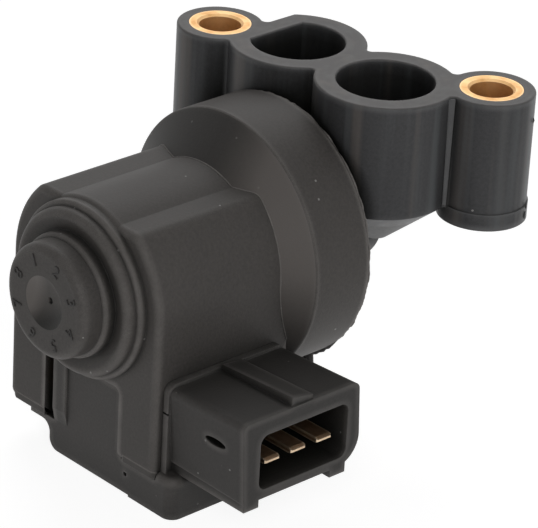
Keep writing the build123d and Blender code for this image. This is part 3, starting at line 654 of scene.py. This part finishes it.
# Crisp lower front edges of the legs: the right one follows the corner, the left one sinks into it
leg_edges = bmesh.new()
downward = Vector((0, 0, -1))
right_leg = [(Vector((RIGHT_LEG[0], 0, LEG_BOTTOM)), downward, (0, 0))]
for step in range(RIGHT_LEG_STEPS + 1):
    angle = math.radians(RIGHT_LEG_TURN * step / RIGHT_LEG_STEPS)
    corner = Vector((RIGHT_LEG[1] - FRONT_ROUND * (1 - math.sin(angle)), 0, LEG_BOTTOM))
    right_leg.append((corner, downward, (FRONT_ROUND * (1 - math.cos(angle)), 0)))
leg_edge(leg_edges, right_leg)
left_leg = [(Vector((LEFT_LEG[1], 0, LEG_BOTTOM)), downward, (0, 0))]
left_turn = Vector((LEFT_LEG[0] + LEG_ROUND, 0, LEG_BOTTOM + LEG_ROUND))
for step in range(LEFT_LEG_STEPS + 1):
    angle = math.radians(90 * step / LEFT_LEG_STEPS)
    outward = Vector((-math.sin(angle), 0, -math.cos(angle)))
    inset = LEG_SUNK * step / LEFT_LEG_STEPS
    left_leg.append((left_turn + outward * LEG_ROUND, outward, (inset, inset)))
leg_edge(leg_edges, left_leg)
bmesh.ops.recalc_face_normals(leg_edges, faces=leg_edges.faces)
# The strip takes the housing finish with finely worn edges and a fine painted highlight
add_piece("leg_edges", leg_edges, "housing_plastic", crisp)

# Thin web between the round tube and the right boss
web = bmesh.new()
rows = []
for place, width in WEB_ENDS:
    middle = Vector(place) * MM
    across = WEB_ACROSS * width * MM / 2
    deep = Vector((-WEB_ACROSS.y, WEB_ACROSS.x, 0)) * WEB_DEPTH
    rows.append([web.verts.new(point) for point in
                 (middle - across, middle + across, middle + across + deep, middle - across + deep)])
join_rings(web, [rows])
for row in rows:
    web.faces.new(row)
bmesh.ops.recalc_face_normals(web, faces=web.faces)
add_piece("boss_web", web, "valve_plastic")

# Bits of flash on the right boss
flash = bmesh.new()
for row in FLASH:
    points = [Vector(point) * MM for point in row]
    bead(flash, points, (FLASH_RADIUS / 2, FLASH_RADIUS, FLASH_RADIUS / 2))
add_piece("boss_flash", flash, "valve_plastic")

# Thin bead along the line where the body runs into the cone
housing_shape = bmesh.new()
housing_shape.from_mesh(frame["nodes"]["motor_housing"].data)
bmesh.ops.remove_doubles(housing_shape, verts=housing_shape.verts, dist=SAME_PLACE)
links = {}
for edge in housing_shape.edges:
    if len(edge.link_faces) == 2:
        cone_side, body_side = sorted(face.normal.y for face in edge.link_faces)
        reach = min((vert.co - Vector((0, vert.co.y, axis_z))).length for vert in edge.verts)
        on_cone = abs(cone_side - CONE_LEAN) < LEAN_MARGIN
        on_body = abs(body_side) < LEAN_MARGIN
        if on_cone and on_body and reach > SEAM_REACH:
            for vert, other in (edge.verts, reversed(edge.verts)):
                links.setdefault(vert, []).append(other)
seam = bmesh.new()
while links:
    ends = [vert for vert, others in links.items() if len(others) == 1]
    here = ends[0] if ends else next(iter(links))
    row = []
    while here in links:
        row.append(here.co.copy())
        onward = [other for other in links.pop(here) if other in links]
        here = onward[0] if onward else None
    if len(row) > 2:
        bead(seam, row, [BEAD_RADIUS] * len(row))
housing_shape.free()
add_piece("cone_seam", seam, "housing_plastic")


def white_light(tree, low, high):
    """Strength of a white surface: low for matt surfaces, high for the camera, gloss and glass."""
    path = make_node(tree, "ShaderNodeLightPath").outputs
    seen = math_node(tree, "MAXIMUM", path["Is Camera Ray"], path["Is Glossy Ray"])
    seen = math_node(tree, "MAXIMUM", seen, path["Is Transmission Ray"])
    return spread(tree, seen, low, high)


# Floor, white to the camera and in reflections
floor_white = bpy.data.materials.new("floor_white")
floor_white.use_nodes = True
tree = floor_white.node_tree
tree.nodes.clear()
glow = make_node(tree, "ShaderNodeEmission", {"Strength": white_light(tree, FLOOR_BOUNCE, FLOOR_SEEN)})
matte = make_node(tree, "ShaderNodeBsdfDiffuse", {"Color": FLOOR_MATTE})
both = make_node(tree, "ShaderNodeAddShader", {0: glow.outputs[0], 1: matte.outputs[0]})
make_node(tree, "ShaderNodeOutputMaterial", {"Surface": both.outputs[0]})

bpy.ops.mesh.primitive_plane_add(size=FLOOR_SIZE, location=(object_middle.x, object_middle.y, floor_z))
floor = bpy.context.object
floor.name = "floor"
floor.data.materials.append(floor_white)

# Surroundings, white to the camera and in reflections, and dark to matt surfaces
world = bpy.data.worlds.new("studio")
bpy.context.scene.world = world
world.use_nodes = True
tree = world.node_tree
background = tree.nodes["Background"]
background.inputs["Color"].default_value = (1, 1, 1, 1)
tree.links.new(white_light(tree, 0.0, 1.0), background.inputs["Strength"])


def softbox(name, place, size, power):
    """Square area lamp that looks at the middle of the object."""
    lamp = bpy.data.lights.new(name, "AREA")
    lamp.size = size
    lamp.energy = power
    holder = bpy.data.objects.new(name, lamp)
    bpy.context.scene.collection.objects.link(holder)
    holder.location = object_middle + Vector(place)
    holder.rotation_euler = (-Vector(place)).to_track_quat("-Z", "Y").to_euler()


for lamp in LAMPS:
    softbox(*lamp)

# Camera of the photograph
camera = bpy.data.objects.new("camera", bpy.data.cameras.new("camera"))
bpy.context.scene.collection.objects.link(camera)
camera.data.sensor_width = CAMERA_SENSOR
camera.data.lens = CAMERA_LENS
camera.data.clip_start = CAMERA_NEAR
camera.data.clip_end = CAMERA_FAR
camera_up = CAMERA_RIGHT.cross(CAMERA_FORWARD)
turned = Matrix((CAMERA_RIGHT, camera_up, -CAMERA_FORWARD)).transposed()
camera.matrix_world = Matrix.Translation(CAMERA_PLACE) @ turned.to_4x4()
bpy.context.scene.camera = camera
bpy.context.scene.view_settings.view_transform = "Standard"
